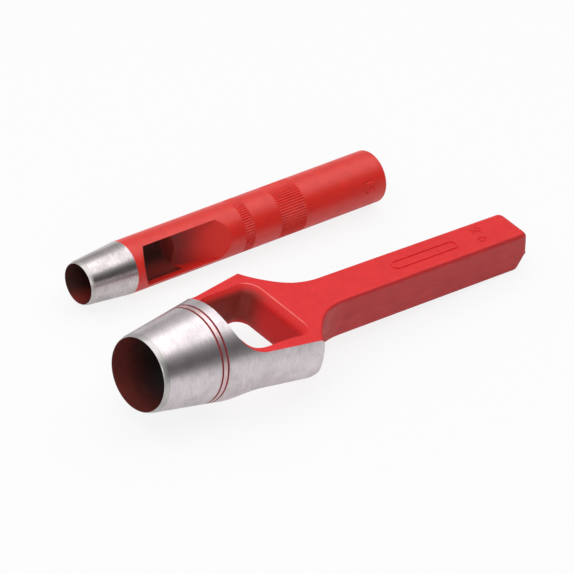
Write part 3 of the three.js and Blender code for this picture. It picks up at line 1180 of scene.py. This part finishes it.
def dress(
    body: Solid, place: Place, finishes: dict[Zone, Finish], groups: dict[str, Tree]
) -> None:
    """Sets a punch in its place, gives its zones their materials and evens out its shading.

    Args:
        body: The punch in its own millimetres.
        place: Where it lies.
        finishes: The finishes of its zones. A zone without one is lacquered.
        groups: The shader groups.
    """
    data = body.data
    data.transform(place.matrix())
    made = {finish: finish.material(place, groups) for finish in finishes.values()}
    for zone in Zone:
        data.materials[zone] = made[finishes.get(zone, finishes[Zone.LACQUER])]
    data.shade_smooth()
    data.set_sharp_from_angle(angle=math.radians(SHARP_ANGLE))
    even = body.modifiers.new("even shading", "WEIGHTED_NORMAL")
    even.keep_sharp = True
    even.weight = FACE_WEIGHT


# Stage


@dataclass(frozen=True)
class Softbox:
    """A soft rectangular lamp: its place, the point it faces, its two sides and its power."""

    name: str
    spot: Triple
    aim: Triple
    size: Pair
    power: float

    def build(self) -> None:
        """Hangs the lamp."""
        data = bpy.data.lights.new(self.name, "AREA")
        data.shape = "RECTANGLE"
        data.size, data.size_y = self.size
        data.energy = self.power
        made = linked(self.name, data)
        made.location = self.spot
        way = Vector(self.aim) - Vector(self.spot)
        made.rotation_euler = way.to_track_quat("-Z", "Y").to_euler()


@dataclass
class Stage:
    """The pale floor, the studio, soft lamps and the camera.

    The camera's target and distance are in millimetres. The floor and the lamps are in metres.
    """

    target: Triple = (8.52, 5.88, 0.0)
    heading: float = 42.396
    elevation: float = 36.391
    roll: float = 9.756
    distance: float = 2439.449
    focal_pixels: float = 7000.0
    sensor: float = 36.0
    clip: Pair = (0.05, 20.0)

    floor_reach: float = 3.0
    floor_colour: Triple = (0.8, 0.8, 0.8)
    seen_share: float = 0.85
    mirrored_share: float = 0.46

    walls: Pair = (0.05, 0.32)
    walls_ends: Pair = (-0.1, 0.85)
    ceiling: float = 0.8
    ceiling_ends: Pair = (0.42, 0.9)
    ceiling_slope: float = 0.3
    horizon_ends: Pair = (0.09, 0.065)
    lamps: tuple[Softbox, ...] = (
        Softbox("overhead", (0.05, 0.085, 0.7), (0.05, 0.085, 0.0), (2.0, 0.82), 5.6),
        Softbox("front", (-0.39, -0.69, 0.43), (0.0, 0.0, 0.0), (0.5, 0.5), 1.6),
    )

    def camera(self) -> None:
        """A long lens on the target: right and up are turned about the view line by the roll."""
        turn, rise, roll = (math.radians(a) for a in (self.heading, self.elevation, self.roll))
        flat = math.cos(rise)
        ahead = Vector((math.cos(turn) * flat, math.sin(turn) * flat, -math.sin(rise)))
        level = Vector((math.sin(turn), -math.cos(turn), 0))
        upright = level.cross(ahead)
        right = level * math.cos(roll) + upright * math.sin(roll)
        up = upright * math.cos(roll) - level * math.sin(roll)
        data = bpy.data.cameras.new("camera")
        data.sensor_width = self.sensor
        data.lens = self.focal_pixels / PIXELS * data.sensor_width
        data.clip_start, data.clip_end = self.clip
        turned = Matrix((right, up, -ahead)).transposed().to_4x4()
        spot = Vector(self.target) * MM - ahead * self.distance * MM
        made = linked("camera", data)
        made.matrix_world = Matrix.Translation(spot) @ turned
        bpy.context.scene.camera = made

    def floor(self) -> None:
        """A plain pale floor, white to the camera and to mirrors but for what keeps the shadow."""
        far = self.floor_reach
        mesh = bpy.data.meshes.new("floor")
        points = [(-far, -far, 0), (far, -far, 0), (far, far, 0), (-far, far, 0)]
        mesh.from_pydata(points, [], [[0, 1, 2, 3]])
        material = bpy.data.materials.new("floor")
        material.use_nodes = True
        graph = Graph(material.node_tree)
        matt = graph.add("ShaderNodeBsdfDiffuse", {"Color": opaque(self.floor_colour)})
        white = graph.add("ShaderNodeEmission", {"Color": (1, 1, 1, 1), "Strength": 1.0})
        ray = graph.add("ShaderNodeLightPath").outputs
        seen = graph.count("MULTIPLY", ray["Is Camera Ray"], self.seen_share)
        mirrored = graph.count("MAXIMUM", ray["Is Glossy Ray"], ray["Is Transmission Ray"])
        share = graph.count("MULTIPLY_ADD", mirrored, self.mirrored_share, seen)
        both = graph.add("ShaderNodeMixShader", {0: share, 1: matt.outputs[0], 2: white.outputs[0]})
        graph.add("ShaderNodeOutputMaterial", {"Surface": both.outputs[0]})
        mesh.materials.append(material)
        linked("floor", mesh)

    def world(self) -> None:
        """The studio: a white backdrop at the horizon, dim walls above it and a lighter ceiling.

        The walls brighten with the Y of the direction, from the near side to the far side. The
        ceiling slopes down on the far side: it is mixed in by Z plus the slope times Y.
        """
        world = bpy.data.worlds.new("studio")
        bpy.context.scene.world = world
        world.use_nodes = True
        graph = Graph(world.node_tree)
        way = graph.add("ShaderNodeTexCoord").outputs["Generated"]
        axes = graph.add("ShaderNodeSeparateXYZ", {0: way}).outputs
        walls = graph.remap(axes["Y"], self.walls_ends, self.walls, way="SMOOTHSTEP")
        height = graph.count("MULTIPLY_ADD", axes["Y"], self.ceiling_slope, axes["Z"])
        upper = graph.mix(graph.remap(height, self.ceiling_ends), walls, self.ceiling)
        whole = graph.mix(graph.remap(axes["Z"], self.horizon_ends), upper, 1.0)
        seen = graph.add("ShaderNodeBackground", {"Color": whole, "Strength": 1.0})
        graph.add("ShaderNodeOutputWorld", {"Surface": seen.outputs[0]})

    def build(self) -> None:
        """Makes the whole stage."""
        self.camera()
        self.floor()
        self.world()
        for lamp in self.lamps:
            lamp.build()
        bpy.context.scene.view_settings.view_transform = "Standard"


def main() -> None:
    """Builds the stage and the two punches."""
    logging.basicConfig(level=logging.INFO, format="%(name)s: %(message)s")
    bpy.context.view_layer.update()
    Stage().build()
    groups = {"grain": turned_grain(), "peel": orange_peel()}
    plan = (
        (ArchPunch(), ARCH_FINISHES, "arch_punch", "arch", "arch_steel"),
        (RoundPunch(), ROUND_FINISHES, "round_punch", "round", "round_steel"),
    )
    for punch, finishes, node, body, slot in plan:
        piece = punch.build()
        dress(piece, punch.place, finishes, groups)
        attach(piece, body)
        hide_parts(node)
        log.info("%s: %d faces", piece.name, len(piece.data.polygons))


if __name__ == "__main__":
    main()
